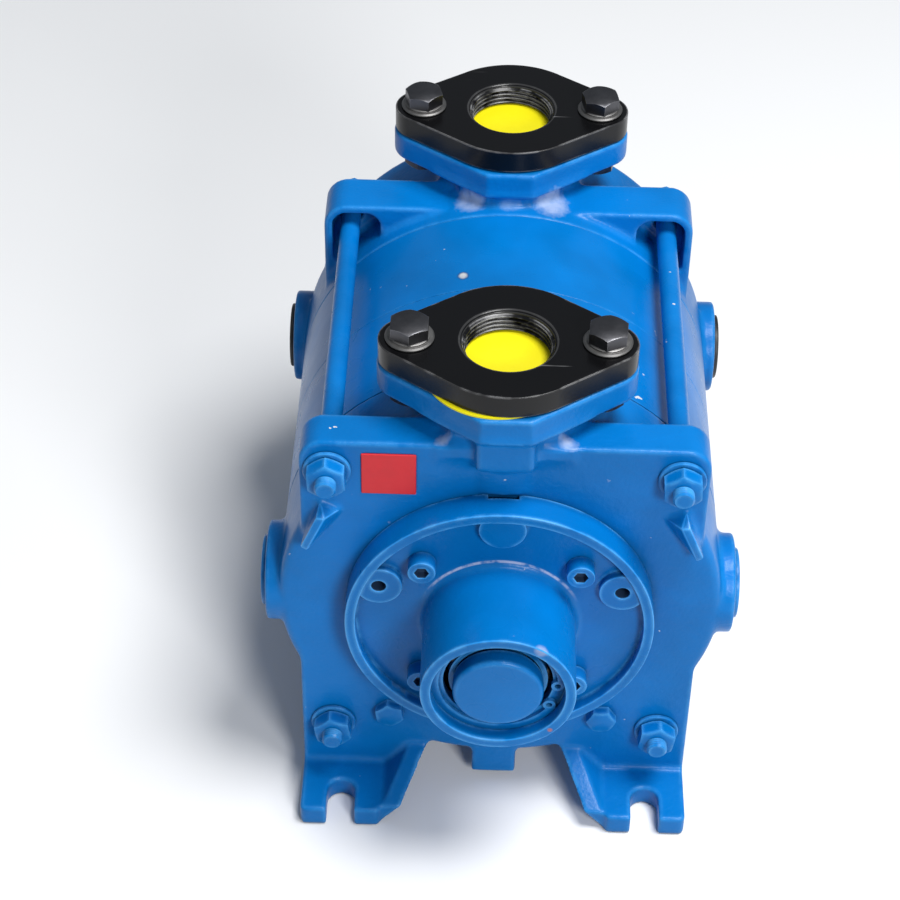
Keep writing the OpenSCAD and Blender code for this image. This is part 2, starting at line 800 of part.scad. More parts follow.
module shaft() {
  end_y = face_y + tube_l;
  color("silver") difference() {
    union() {
      bar_y(stub_front, front_y, stub_d / 2);
      bar_y(front_y - race_front, end_y, bearing_bore / 2);
      bar_y(front_y - race_back, face_y + race_back, seal_d / 2);
      bar_y(front_y + shoulder, face_y - shoulder, seat_d / 2);
      bar_y(end_y - eps, end_y + drive_l, drive_d / 2);
    }
    for (rear = [false, true]) at_stage(rear) {
      impeller_key(fit);
      ring_y(hub_front - hub_clip_t, hub_front, seat_d / 2 - hub_clip_bite, seat_d);
    }
    drive_keyway(end_y + drive_l - keyway_set - keyway_l / 2);
  }
}

// Keyway with round ends, cut into the top of the drive end
module drive_keyway(y_mid) {
  half = keyway_l / 2 - keyway_w / 2;
  floor_z = axis_h + drive_d / 2 - keyway_t;
  translate([-keyway_w / 2, y_mid - half, floor_z]) cube([keyway_w, 2 * half, drive_d]);
  for (y = [y_mid - half, y_mid + half]) translate([0, y, floor_z]) cylinder(d = keyway_w, h = drive_d);
}

// Round cap screwed on the shaft's front end, against the bearing's inner race
module shaft_end_cap() {
  length = clip_set + clip_t - cap_sink;
  r = cap_d / 2;
  color(cast_blue) difference() {
    turned_y(front_y - race_front - length) {
      square([r - cap_edge, length]);
      translate([0, cap_edge]) square([r, length - cap_edge]);
      translate([r - cap_edge, cap_edge]) circle(cap_edge);
    }
    bar_y(stub_front - fit, front_y, stub_d / 2 + fit);
  }
}

// Rubber ring that keeps dust off the drive end's bearing
module drive_v_ring() {
  y0 = face_y + race_front + run;
  color("black") ring_y(y0, face_y + tube_l - cap_sink, bearing_bore / 2, cap_d / 2);
}

// Bearing housings

// Places of the four housing screws, around the shaft axis
module screw_places() {
  for (a = [45 : 90 : 315])
    translate([screw_pcd / 2 * cos(a), 0, axis_h + screw_pcd / 2 * sin(a)]) children();
}

// Places of the jacking lugs; the middle one has no hole
module jack_places(angles) {
  for (a = angles) translate([jack_r * cos(a), 0, axis_h + jack_r * sin(a)]) children();
}

// Outline of a housing: flange, rim, tube and spigot, with its first axis outwards
module housing_outline() {
  mouth = tube_l;
  difference() {
    union() {
      translate([0, -spigot_l]) square([spigot_d / 2, spigot_l]);
      square([rim_r, floor_t]);
      translate([rim_r - rim_w, 0]) square([rim_w, rim_h]);
      square([tube_r, mouth]);
      translate([tube_r, floor_t]) difference() {
        square(tube_fillet);
        translate([tube_fillet, tube_fillet]) circle(tube_fillet);
      }
    }
    translate([0, -spigot_l - eps]) square([seal_seat_d / 2 + fit, seal_seat_l + eps]);
    translate([0, -spigot_l - eps]) square([seal_d / 2 + shaft_gap, mouth + spigot_l + 2 * eps]);
    translate([0, floor_t]) square([bearing_r - race_t, mouth]);
    translate([0, race_back]) square([bearing_r + fit, mouth]);
    translate([0, race_front - fit]) square([bearing_r + clip_bite + fit, clip_t + 2 * fit]);
    translate([spigot_d / 2 - o_groove, -spigot_l / 2 - o_groove / 2]) square([o_groove + eps, o_groove]);
  }
}

module bearing_housing() {
  color(cast_blue) difference() {
    union() {
      translate([0, front_y, axis_h]) rotate([90, 0, 0]) rotate_extrude() housing_outline();
      intersection() {
        jack_places([jack_angle, 90, 180 - jack_angle])
          bar_y(front_y - floor_t - jack_boss_h, front_y - eps, jack_boss_d / 2, 0, 0);
        bar_y(front_y - rim_h, front_y, rim_r - eps);
      }
    }
    screw_places() bar_y(front_y - rim_h, front_y + eps, screw_d / 2 + hole_play, 0, 0);
    jack_places([jack_angle, 180 - jack_angle]) bar_y(front_y - rim_h, front_y + eps, jack_d / 2, 0, 0);
    translate([-notch_w / 2, front_y - notch_t, axis_h + rim_r - rim_w])
      cube([notch_w, notch_t + eps, rim_r]);
  }
}

module front_bearing_housing() { bearing_housing(); }

module rear_bearing_housing() { at_end(true) bearing_housing(); }

// Socket head screws that hold a housing
module housing_screws() {
  head = front_y - floor_t;
  color(cast_blue) screw_places() difference() {
    union() {
      bar_y(head - screw_head_h, head, screw_head_d / 2, 0, 0);
      bar_y(head - eps, front_y + screw_grip, screw_d / 2, 0, 0);
    }
    slab_y(head - screw_head_h - eps, head - screw_head_h + socket_l) hexagon(socket_af);
  }
}

module front_housing_screws() { housing_screws(); }

module rear_housing_screws() { at_end(true) housing_screws(); }

// Bearings

// A race between two radii, with the ball groove cut in it
module race(r_in, r_out) {
  groove = ball_d / 2 + run;
  color("silver") turned_y(front_y - race_front) difference() {
    translate([r_in, 0]) square([r_out - r_in, bearing_w]);
    translate([ball_ring_r, bearing_w / 2]) circle(groove);
  }
}

module outer_race() { race(bearing_r - race_t, bearing_r); }

module inner_race() { race(bearing_bore / 2, bearing_bore / 2 + race_t); }

// Centres of the balls of the front bearing
module ball_places() {
  for (i = [0 : ball_count - 1])
    translate([ball_ring_r * cos(i * 360 / ball_count), front_y - race_front + bearing_w / 2,
      axis_h + ball_ring_r * sin(i * 360 / ball_count)]) children();
}

module bearing_balls() {
  color("gainsboro") ball_places() sphere(d = ball_d);
}

// Cage ring with a round radial pocket for each ball
module ball_cage() {
  y_mid = front_y - race_front + bearing_w / 2;
  color("goldenrod") difference() {
    ring_y(y_mid - cage_w / 2, y_mid + cage_w / 2, ball_ring_r - cage_t / 2, ball_ring_r + cage_t / 2);
    for (i = [0 : ball_count - 1])
      translate([0, y_mid, axis_h]) rotate([0, 90 - i * 360 / ball_count, 0])
        cylinder(d = ball_d + run, h = bearing_r);
  }
}

module front_outer_race() { outer_race(); }

module rear_outer_race() { at_end(true) outer_race(); }

module front_inner_race() { inner_race(); }

module rear_inner_race() { at_end(true) inner_race(); }

module front_bearing_balls() { bearing_balls(); }

module rear_bearing_balls() { at_end(true) bearing_balls(); }

module front_ball_cage() { ball_cage(); }

module rear_ball_cage() { at_end(true) ball_cage(); }

// Internal circlip with two eyes beside its gap
module circlip() {
  outer = bearing_r + clip_bite;
  inner = outer - clip_w;
  eye_r = 3;
  gap_a = -15;
  eye_a = 14;
  color("dimgray") slab_y(front_y - clip_front, front_y - race_front) translate([0, axis_h])
    rotate(gap_a) difference() {
      union() {
        difference() {
          circle(outer);
          circle(inner);
          polygon([[0, 0], 2 * outer * [cos(eye_a), -sin(eye_a)], 2 * outer * [cos(eye_a), sin(eye_a)]]);
        }
        for (a = [-eye_a, eye_a]) rotate(a) translate([inner, 0]) circle(eye_r);
      }
      for (a = [-eye_a, eye_a]) rotate(a) translate([inner, 0]) circle(eye_r / 2, $fn = 24);
    }
}

module front_circlip() { circlip(); }

module rear_circlip() { at_end(true) circlip(); }

// Mechanical seals

module seal_seat() {
  back = front_y + seal_start;
  color("ivory") ring_y(back - seal_seat_l, back, seal_d / 2 + shaft_gap, seal_seat_d / 2);
}

module seal_head() {
  color("dimgray") ring_y(front_y + head_front, front_y + head_back, seal_d / 2, seal_head_d / 2);
}

// Coil spring swept along a helix with a six-sided wire
module seal_spring() {
  steps = 16;
  sides = 6;
  count = floor(seal_turns * steps);
  wire_r = seal_wire / 2;
  start = head_back + wire_r + fit;
  length = seal_spring_l - seal_wire - 2 * fit;
  points = [for (i = [0 : count], j = [0 : sides - 1])
    let (a = i * 360 / steps, b = j * 360 / sides, r = spring_r + wire_r * cos(b))
    [r * cos(a), start + length * i / count + wire_r * sin(b), r * sin(a)]];
  walls = [for (i = [0 : count - 1], j = [0 : sides - 1], half = [0, 1])
    let (k = (j + 1) % sides, p = i * sides + j, q = i * sides + k)
    half == 0 ? [p, q, p + sides] : [q, q + sides, p + sides]];
  ends = [[for (j = [sides - 1 : -1 : 0]) j], [for (j = [0 : sides - 1]) count * sides + j]];
  color("silver") translate([0, front_y, axis_h]) polyhedron(points, concat(walls, ends));
}

module front_seal_seat() { seal_seat(); }

module rear_seal_seat() { at_end(true) seal_seat(); }

module front_seal_head() { seal_head(); }

module rear_seal_head() { at_end(true) seal_head(); }

module front_seal_spring() { seal_spring(); }

module rear_seal_spring() { at_end(true) seal_spring(); }

module housing_o_rings() {
  color("dimgray") for (rear = [false, true]) at_end(rear)
    torus_y(front_y + spigot_l / 2, spigot_d / 2 - o_groove / 2, o_ring_d);
}

// Tie rods

module tie_rods() {
  color(cast_blue) both_sides() for (z = rod_zs) bar_y(rod_front, rod_rear, rod_d / 2, rod_x, z);
}

module tie_rod_washers() {
  color(cast_blue) both_sides() for (z = rod_zs, y = [front_y - washer_t, rear_plate_back])
    difference() {
      bar_y(y, y + washer_t, washer_d / 2, rod_x, z);
      bar_y(y - eps, y + washer_t + eps, rod_d / 2 + fit, rod_x, z);
    }
}

module tie_rod_nuts() {
  ys = [front_y - washer_t - nut_h, rear_plate_back + washer_t];
  color(cast_blue) both_sides() for (z = rod_zs, y = ys)
    difference() {
      slab_y(y, y + nut_h) translate([rod_x, z]) rotate(30) hexagon(nut_af);
      bar_y(y - eps, y + nut_h + eps, rod_d / 2 + fit, rod_x, z);
    }
}

// Companion flanges

// Outline of the straight-sided web between a flange's middle disc and its rounded ends
module flange_web() {
  r_mid = flange_d / 2;
  r_end = flange_end_d / 2;
  a = acos((r_mid - r_end) / bolt_x);
  inner = on_circle(0, r_mid - tuck, a);
  outer = on_circle(bolt_x, r_end - tuck, a);
  right = [inner, outer, [outer[0], -outer[1]], [inner[0], -inner[1]]];
  polygon(concat(right, [for (i = [3 : -1 : 0]) [-right[i][0], right[i][1]]]));
}

module companion_flange() {
  color("black") translate([0, -port_y, flange_z]) difference() {
    union() {
      cylinder(d = flange_d, h = flange_t);
      linear_extrude(flange_t) flange_web();
      both_sides() translate([bolt_x, 0, 0]) cylinder(d = flange_end_d, h = flange_t);
    }
    translate([0, 0, -eps]) cylinder(r = thread_r, h = flange_t + 2 * eps);
    translate([0, 0, flange_t - thread_chamfer])
      cylinder(r1 = thread_r, r2 = thread_r + 2 * thread_chamfer, h = 2 * thread_chamfer);
    both_sides() translate([bolt_x, 0, -eps]) cylinder(r = bolt_hole_r, h = flange_t + 2 * eps);
  }
}

module front_companion_flange() { companion_flange(); }

module rear_companion_flange() { at_end(true) companion_flange(); }

module front_port_disc() {
  color("yellow") translate([-disc_shift_x, -port_y - disc_shift_y, cast_z])
    cylinder(d = disc_d, h = disc_t);
}

module rear_port_disc() {
  color("yellow") translate([0, port_y, cast_z]) cylinder(d = disc_d, h = disc_t);
}

// Places of the four flange bolts
module bolt_places() {
  for (y = [-port_y, port_y]) both_sides() translate([bolt_x, y, 0]) children();
}

module flange_bolts() {
  under = cast_z - cast_t;
  head = flange_top + bolt_washer_t;
  color("dimgray") bolt_places() {
    translate([0, 0, head]) linear_extrude(bolt_head_h) hexagon(bolt_af);
    translate([0, 0, under - bolt_nut_h - bolt_out])
      cylinder(d = bolt_d, h = head + eps - under + bolt_nut_h + bolt_out);
  }
}

module flange_washers() {
  color("dimgray") bolt_places() translate([0, 0, flange_top]) difference() {
    cylinder(d1 = bolt_washer_d, d2 = bolt_washer_top, h = bolt_washer_t);
    translate([0, 0, -eps]) cylinder(r = bolt_d / 2 + fit, h = bolt_washer_t + 2 * eps);
  }
}

module flange_nuts() {
  color("dimgray") bolt_places() translate([0, 0, cast_z - cast_t - bolt_nut_h]) difference() {
    linear_extrude(bolt_nut_h) hexagon(bolt_af);
    translate([0, 0, -eps]) cylinder(r = bolt_d / 2 + fit, h = bolt_nut_h + 2 * eps);
  }
}

// Plugs and badge

module drain_plugs() {
  color(cast_blue) for (rear = [false, true]) at_end(rear) both_sides() {
    slab_y(front_y - plug_h, front_y) translate([plug_x, axis_h - plug_down]) hexagon(plug_af);
    bar_y(front_y - eps, front_y + face_wall, plug_d / 2, plug_x, axis_h - plug_down);
  }
}

module side_port_plug(boss_set) {
  side_bar(boss_set, boss_x, boss_x + side_plug_t, side_thread_d + 2 * side_plug_rim);
  side_bar(boss_set, boss_x - side_plug_l, boss_x + eps, side_thread_d);
}

module side_port_plugs() {
  color("black") both_sides() {
    side_port_plug(front_boss_set);
    at_end(true) side_port_plug(rear_boss_set);
  }
}

// Rectangular block at the red pad's place
module badge_block(y0, y1, play) {
  slab_y(y0, y1) translate([-badge_x - badge_w / 2 - play, axis_h + badge_up - badge_h / 2 - play])
    square([badge_w + 2 * play, badge_h + 2 * play]);
}

module badge() {
  color("red") badge_block(front_y + badge_sink - badge_t, front_y + badge_sink, 0);
}

front_casing();
rear_casing();
front_body_ring();
rear_body_ring();
front_port_plate();
mid_plate();
rear_port_plate();
front_impeller();
rear_impeller();
impeller_spacer();
impeller_circlips();
impeller_keys();
shaft();
shaft_end_cap();
drive_v_ring();
front_bearing_housing();
rear_bearing_housing();
front_housing_screws();
rear_housing_screws();
front_outer_race();
rear_outer_race();
front_inner_race();
rear_inner_race();
front_bearing_balls();
rear_bearing_balls();
front_ball_cage();
rear_ball_cage();
front_circlip();
rear_circlip();
front_seal_seat();
rear_seal_seat();
front_seal_head();
rear_seal_head();
front_seal_spring();
rear_seal_spring();
body_o_rings();
housing_o_rings();
tie_rods();
tie_rod_washers();
tie_rod_nuts();
front_companion_flange();
rear_companion_flange();
front_port_disc();
rear_port_disc();
flange_bolts();
flange_washers();
flange_nuts();
drain_plugs();
side_port_plugs();
badge();
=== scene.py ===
# %% [markdown]
# # A liquid ring vacuum pump
# The imported CAD model gives every piece its place and size.
# Blender adds what a drawing leaves out: the soft corners of a casting, chamfered nuts, threads,
# paint with wear and a painted highlight on its edges, and the light of a small studio.
# Lengths on the pump are in millimetres, and `MM` turns them into Blender's metres.
# The lamps and the floor are placed in metres.

# %% Load the frame
import math

import bmesh
import bpy
import numpy as np
from mathutils import Matrix, Vector


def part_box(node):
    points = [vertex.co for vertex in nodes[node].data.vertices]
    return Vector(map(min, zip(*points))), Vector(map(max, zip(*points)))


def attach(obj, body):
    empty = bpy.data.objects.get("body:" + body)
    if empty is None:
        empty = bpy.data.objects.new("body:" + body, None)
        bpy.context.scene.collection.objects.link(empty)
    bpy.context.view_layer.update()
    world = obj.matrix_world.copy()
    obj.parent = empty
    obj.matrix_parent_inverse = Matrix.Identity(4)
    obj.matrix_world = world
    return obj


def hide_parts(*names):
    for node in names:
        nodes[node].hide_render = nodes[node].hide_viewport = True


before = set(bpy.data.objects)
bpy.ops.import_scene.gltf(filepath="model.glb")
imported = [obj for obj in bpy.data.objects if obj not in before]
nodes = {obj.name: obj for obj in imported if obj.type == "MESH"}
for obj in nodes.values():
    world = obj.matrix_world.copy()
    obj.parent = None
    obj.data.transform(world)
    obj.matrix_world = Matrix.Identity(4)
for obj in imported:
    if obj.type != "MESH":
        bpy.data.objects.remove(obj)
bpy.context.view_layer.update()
MM = 0.001
AXIS_Z = 126

# %% [markdown]
# ## Camera
# The photograph looks down on the front face from about two arm's lengths away.
# The camera's place came from fitting known circles and bolt spacings to the picture,
# so a long lens with a slight roll repeats its perspective.
# Three axes side by side make the rotation: right, up, and backwards, because a camera looks along -Z.

# %% Place the camera
eye = Vector((-13.12, -918.44, 938.67)) * MM
forward = Vector((-0.01101, 0.74369, -0.66844)).normalized()
roll = math.radians(1.07)
level = forward.cross(Vector((0, 0, 1))).normalized()
right = math.cos(roll) * level + math.sin(roll) * level.cross(forward)
camera_data = bpy.data.cameras.new("camera")
camera_data.sensor_width = 36
camera_data.lens = 95.27
camera = bpy.data.objects.new("camera", camera_data)
camera.matrix_world = Matrix.Translation(eye) @ Matrix(
    (right, right.cross(forward), -forward)).transposed().to_4x4()
scene = bpy.context.scene
scene.collection.objects.link(camera)
scene.camera = camera
scene.view_settings.view_transform = "Standard"
print("camera", tuple(round(v, 3) for v in camera.location))

# %% [markdown]
# ## Light
# The pump stood under an open sky: broad light from above, a little stronger from one side.
# Two soft lamps do that, one overhead and one in front, and a faint bluish world fills the shadows.

# %% Set the studio
def lamp(name, place, target, size, watts):
    """A round soft lamp that faces a target; places and size are in metres."""
    data = bpy.data.lights.new(name, "AREA")
    data.shape = "DISK"
    data.size = size
    data.energy = watts
    item = bpy.data.objects.new(name, data)
    item.location = place
    item.rotation_euler = (Vector(target) - Vector(place)).to_track_quat("-Z", "Y").to_euler()
    scene.collection.objects.link(item)


lamp("sky_lamp", (0.55, -0.25, 1.85), (0, 0, 0.15), 0.8, 33)
lamp("front_lamp", (0.75, -1.7, 1.15), (0, -0.1, 0.12), 0.6, 22)
world = bpy.data.worlds.new("studio")
scene.world = world
world.use_nodes = True
background = world.node_tree.nodes["Background"]
background.inputs["Color"].default_value = (0.82, 0.9, 1, 1)
background.inputs["Strength"].default_value = 0.25

# %% [markdown]
# ## Shader arithmetic
# A finish is easier to read as a formula than as a list of links.
# `Value` wraps one socket and overloads the operators, so that `1 - mask` adds a Math node.

# %% Wrap a socket
class Value:
    """One output socket, which can be added, subtracted and multiplied."""

    def __init__(self, finish, socket):
        self.finish = finish
        self.socket = socket

    def math(self, operation, first, second=0.0):
        return self.finish.add("ShaderNodeMath", {"operation": operation}, {0: first, 1: second})

    def __add__(self, other):
        return self.math("ADD", self, other)

    def __sub__(self, other):
        return self.math("SUBTRACT", self, other)

    def __mul__(self, other):
        return self.math("MULTIPLY", self, other)

    def __rsub__(self, other):
        return self.math("SUBTRACT", other, self)

    __radd__ = __add__
    __rmul__ = __mul__

    def clamp(self):
        return self.finish.add("ShaderNodeClamp", {}, {"Value": self})

    def between(self, low, high):
        """0 below low, 1 above high, with a smooth step in between."""
        return self.finish.add("ShaderNodeMapRange", {"interpolation_type": "SMOOTHSTEP"},
                               {"Value": self, "From Min": low, "From Max": high})


print("sockets can be added, subtracted and multiplied")

# %% [markdown]
# `Finish` owns a material. One method, `add`, makes every node: its kind, its settings, its sockets.
# The others name what a painter sees: a patch of wear, a pale line of painted highlight,
# corners darkened by dirt and painted shade, edges paled by wear and painted highlight.
# Patterns read Object coordinates, so they stay put when the camera or the rotor moves.

# %% Own a material
class Finish:
    """A material with a Principled shader on Object coordinates."""

    def __init__(self, name, **sockets):
        self.material = bpy.data.materials.new(name)
        self.material.use_nodes = True
        self.tree = self.material.node_tree
        self.shader = self.tree.nodes["Principled BSDF"]
        self.place = self.add("ShaderNodeTexCoord", output="Object")
        for key, value in sockets.items():
            self.set({"ior": "IOR"}.get(key, key.title()), value)

    def feed(self, socket, value):
        if isinstance(value, Value):
            self.tree.links.new(value.socket, socket)
        elif socket.type == "RGBA" and len(value) == 3:
            socket.default_value = (*value, 1)
        else:
            socket.default_value = value

    def add(self, kind, settings=None, sockets=None, output=0):
        node = self.tree.nodes.new(kind)
        for key, value in (settings or {}).items():
            setattr(node, key, value)
        for key, value in (sockets or {}).items():
            self.feed(node.inputs[key], value)
        return Value(self, node.outputs[output])

    def set(self, socket, value):
        self.feed(self.shader.inputs[socket], value)

    def noise(self, scale, detail=2.0, rough=0.5, place=None):
        return self.add("ShaderNodeTexNoise", {}, {
            "Vector": place or self.place, "Scale": scale, "Detail": detail, "Roughness": rough}, "Fac")

    def mix(self, amount, first, second):
        return self.add("ShaderNodeMix", {"data_type": "RGBA"}, {0: amount, 6: first, 7: second}, 2)

    def bump(self, height, strength, distance):
        return self.add("ShaderNodeBump", {}, {
            "Height": height, "Strength": strength, "Distance": distance * MM})

    def patch(self, point, radius):
        """A blotch about a point: solid in the middle, broken up towards its rim."""
        away = self.add("ShaderNodeVectorMath", {"operation": "DISTANCE"},
                        {0: self.place, 1: Vector(point) * MM}, "Value")
        fade = 1 - away.between(0.2 * radius * MM, radius * MM)
        return (fade * 1.6 + self.noise(240, 3, 0.6) * 1.3 - 1.3).clamp()

    def circle(self, radius, y, width):
        """A painted highlight: a pale line round the shaft axis, on the upper side of a circle."""
        axes = self.add("ShaderNodeSeparateXYZ", {}, {0: self.place})
        x, along_y, z = [Value(self, socket) for socket in axes.socket.node.outputs]
        up = z - AXIS_Z * MM
        squared = x * x + up * up
        off = squared.math("SQRT", squared) - radius * MM
        near = 1 - (off * off).between(0, (width * MM) ** 2)
        deep = along_y - y * MM
        level_with = 1 - (deep * deep).between(0, (3 * width * MM) ** 2)
        upper = up.between(12 * MM, 30 * MM)
        return near * level_with * upper * self.noise(150, 3, 0.6).between(0.35, 0.55)

    def crevice_dirt_and_shade(self, reach):
        """1 deep in a corner and 0 in the open: it darkens corners for dirt and overspray, and as
        painted shade.
        """
        open_sky = self.add("ShaderNodeAmbientOcclusion", {"samples": 6},
                            {"Distance": reach * MM}, "AO")
        return 1 - open_sky.between(0.3, 0.85)

    def edges(self, radius):
        """1 near a sharp edge, 0 on open faces: how far a rounded normal leaves the true one."""
        true = self.add("ShaderNodeNewGeometry", output="Normal")
        soft = self.add("ShaderNodeBevel", {"samples": 6}, {"Radius": radius * MM})
        dot = self.add("ShaderNodeVectorMath", {"operation": "DOT_PRODUCT"},
                       {0: true, 1: soft}, "Value")
        return (1 - dot).clamp()


def clouded(base, darker, lighter):
    """Two shades of a colour, for a cloud to mix."""
    return [c * darker for c in base], [min(1, c * lighter) for c in base]


print("finishes can be written as formulas")

# %% [markdown]
# ## Blue paint
# The castings, housings and tie rods were painted together, after assembly, in one bright blue.
# The paint is satin, follows the grain of the casting and wears to a paler blue on edges, which doubles
# as a painted highlight there, with a few chips down to bare metal. Corners are darkened, by dirt and
# by painted shade, and pale dust lies round the port necks.
# One function makes all the blues: they differ in shade, grain, gloss and marks.

# %% Mix the blue paints
def painted(name, base, worn_and_lit, grain, chips, rough=0.26, marks=(), lines=(), edge_wear_and_light=(3.0, 15)):
    """Satin paint; a mark is a point, radius, colour and strength. The edge setting is a reach and a
    gain for paler edges, worn and with a painted highlight.
    """
    f = Finish(name, ior=1.3)
    body = f.mix(f.noise(14, 3, 0.6).between(0.3, 0.72), *clouded(base, 0.84, 1.1))
    # Corners darken towards a deep blue: dirt, and painted shade.
    body = f.mix(f.crevice_dirt_and_shade(7) * 0.75, body, [c * 0.35 for c in base])
    # Edges pale towards the worn blue: wear, and a painted highlight along them.
    wear_and_highlight = (f.edges(edge_wear_and_light[0]) * edge_wear_and_light[1]).clamp() * f.noise(90, 3, 0.6).between(0.3, 0.62)
    body = f.mix(wear_and_highlight * 0.7, body, worn_and_lit)
    hit = f.noise(240).between(chips, chips + 0.012) * f.noise(31).between(0.52, 0.6)
    body = f.mix(hit, body, CHIP)
    for point, radius, colour, strength in marks:
        body = f.mix(f.patch(point, radius) * strength, body, colour)
    # Pale lavender rings are a painted highlight.
    for radius, y, width in lines:
        body = f.mix(f.circle(radius, y, width) * 0.75, body, LAVENDER)
    f.set("Base Color", body)
    f.set("Roughness", rough + f.noise(60) * 0.14)
    height = f.noise(520, 3, 0.6) * 0.6 + f.noise(130) + f.noise(38) * 1.6
    f.set("Normal", f.bump(height, grain, 0.7))
    return f.material


# The worn blues pale the edges as wear and as painted highlight.
BLUE, WORN_LIT_BLUE = (0.0, 0.164, 0.51), (0.09, 0.4, 0.8)
PALE_BLUE, WORN_LIT_PALE = (0.02, 0.27, 0.72), (0.16, 0.5, 0.9)
CHIP = (0.62, 0.64, 0.66)
LAVENDER = (0.5, 0.55, 0.74)
DUST = (0.62, 0.66, 0.76)
RUST = (0.5, 0.16, 0.08)
NAVY = (0.02, 0.06, 0.16)
drum_scar = (-21.9, -2.4, 229.2)
neck_wear = [
    ((-19, 58, 230), 15, DUST, 0.42), ((21, 58, 230), 17, DUST, 0.48), ((0, 55, 229), 13, DUST, 0.25),
    ((-29, -122, 231), 8, DUST, 0.45), ((29, -122, 231), 9, DUST, 0.5)]
housing_wear = [((24.8, -181.5, 103.3), 2.4, RUST, 0.8), ((19, -181.5, 156), 6, LAVENDER, 0.5)]
drum_wear = [(drum_scar, 5.6, NAVY, 0.9), (drum_scar, 4.0, CHIP, 1.0)]
# A painted highlight along the root of the bearing tube.
tube_root_highlight = [(38.6, -133.6, 0.8)]
cast_paint = painted("cast_paint", BLUE, WORN_LIT_BLUE, 0.34, 0.74, marks=neck_wear)
smooth_paint = painted("smooth_paint", BLUE, WORN_LIT_BLUE, 0.26, 0.75, 0.22, housing_wear, tube_root_highlight)
drum_paint = painted("drum_paint", BLUE, WORN_LIT_BLUE, 0.14, 0.74, 0.22, drum_wear, edge_wear_and_light=(1.5, 4))
# A paler blue for the bevel faces: worn edges, and a painted highlight that runs along them.
edge_wear_and_highlight_paint = painted("edge_wear_and_highlight_paint", PALE_BLUE, WORN_LIT_PALE, 0.08, 0.74, 0.2)
print("blue paints", [m.name for m in (cast_paint, smooth_paint, drum_paint, edge_wear_and_highlight_paint)])

# %% [markdown]
# ## Black paint
# The oval flanges are black and rubbed: their edges show bare iron, pale enough on the bevels to be a
# painted highlight as well, and fine scratches cross the top.
# A noise that is squeezed some forty times along one axis breaks into such lines.

# %% Scratch the black paint
def scratched(name, base, bare):
    f = Finish(name, ior=1.34)
    lines = 0.0
    for turn, stretch in ((0.5, (9, 420, 9)), (-0.7, (12, 380, 12))):
        way = f.add("ShaderNodeMapping", {}, {
            "Vector": f.place, "Rotation": (0, 0, turn), "Scale": stretch})
        lines = f.noise(1.0, 3, 0.6, way).between(0.71, 0.76) + lines
    # Paler edges: worn to bare iron, and a painted highlight where the bevels catch light.
    edge_wear_and_sheen = (f.edges(1.5) * 4).clamp() * f.noise(70, 3, 0.6).between(0.42, 0.58)
    wear_and_highlight = (lines * 0.35 * f.noise(40).between(0.45, 0.6) + edge_wear_and_sheen * 0.75).clamp()
    f.set("Base Color", f.mix(wear_and_highlight, base, bare))
    f.set("Roughness", 0.15 + f.noise(50, 3, 0.6) * 0.16)
    f.set("Normal", f.bump(f.noise(330, 3, 0.6), 0.08, 0.4))
    return f.material


black_paint = scratched("black_paint", (0.003, 0.003, 0.0035), (0.36, 0.36, 0.37))
# The bevels' finish: lighter black and brighter bare iron, a painted highlight along the flange edges
# as well as wear.
black_edge_wear_and_highlight = scratched("black_edge_wear_and_highlight", (0.03, 0.03, 0.031), (0.6, 0.6, 0.61))
print("black paints", [m.name for m in (black_paint, black_edge_wear_and_highlight)])

# %% [markdown]
# ## Metals
# Bare and oiled metals differ in colour and in how wide their highlights are.
# The bolts are black oxide, and spanners have polished their corners.

# %% Make the metals
def metal(name, base, rough, tint=0.2, grain=0.05, polish=None):
    f = Finish(name, metallic=1.0)
    body = f.mix(f.noise(120, 3, 0.6), *clouded(base, 1 - tint, 1 + tint))
    if polish:
        wear_and_highlight = (f.edges(0.9) * 3).clamp() * f.noise(150, 3, 0.6).between(0.3, 0.6)
        body = f.mix(wear_and_highlight * 0.8, body, polish)
    f.set("Base Color", body)
    f.set("Roughness", rough + f.noise(300) * 0.15)
    f.set("Normal", f.bump(f.noise(900), grain, 0.2))
    return f.material


greased_steel = metal("greased_steel", (0.045, 0.043, 0.04), 0.3)
dark_steel = metal("dark_steel", (0.1, 0.1, 0.108), 0.34, 0.35, 0.14, (0.42, 0.42, 0.44))
washer_steel = metal("washer_steel", (0.2, 0.195, 0.19), 0.42, 0.25, 0.12, (0.4, 0.4, 0.4))
bright_steel = metal("bright_steel", (0.6, 0.6, 0.61), 0.26)
bronze = metal("bronze", (0.62, 0.42, 0.2), 0.34)
plate_iron = metal("plate_iron", (0.24, 0.24, 0.25), 0.42)
print("metals", [m.name for m in (
    greased_steel, dark_steel, washer_steel, bright_steel, bronze, plate_iron)])

# %% [markdown]
# ## Plastics, rubber and ceramic
# These are plain in colour, with a faint cloud and a fine grain.

# %% Make the plain finishes
def plain(name, base, rough, tint=0.15):
    f = Finish(name)
    f.set("Base Color", f.mix(f.noise(80, 3, 0.6), *clouded(base, 1 - tint, 1 + tint)))
    f.set("Roughness", rough + f.noise(200) * 0.12)
    f.set("Normal", f.bump(f.noise(700), 0.05, 0.2))
    return f.material


yellow_plastic = plain("yellow_plastic", (0.86, 0.76, 0.004), 0.42, 0.05)
red_paint = plain("red_pad", (0.62, 0.012, 0.02), 0.36)
black_plastic = plain("black_plastic", (0.014, 0.014, 0.015), 0.4)
rubber = plain("rubber", (0.012, 0.012, 0.012), 0.6)
ceramic = plain("ceramic", (0.82, 0.8, 0.74), 0.2, 0.04)
carbon = plain("carbon", (0.03, 0.03, 0.032), 0.45)
# Dark navy for inside sockets and tapped holes: painted shade.
hole_shade_paint = plain("hole_shade_paint", (0.022, 0.05, 0.11), 0.4, 0.5)
print("finishes", len(bpy.data.materials))

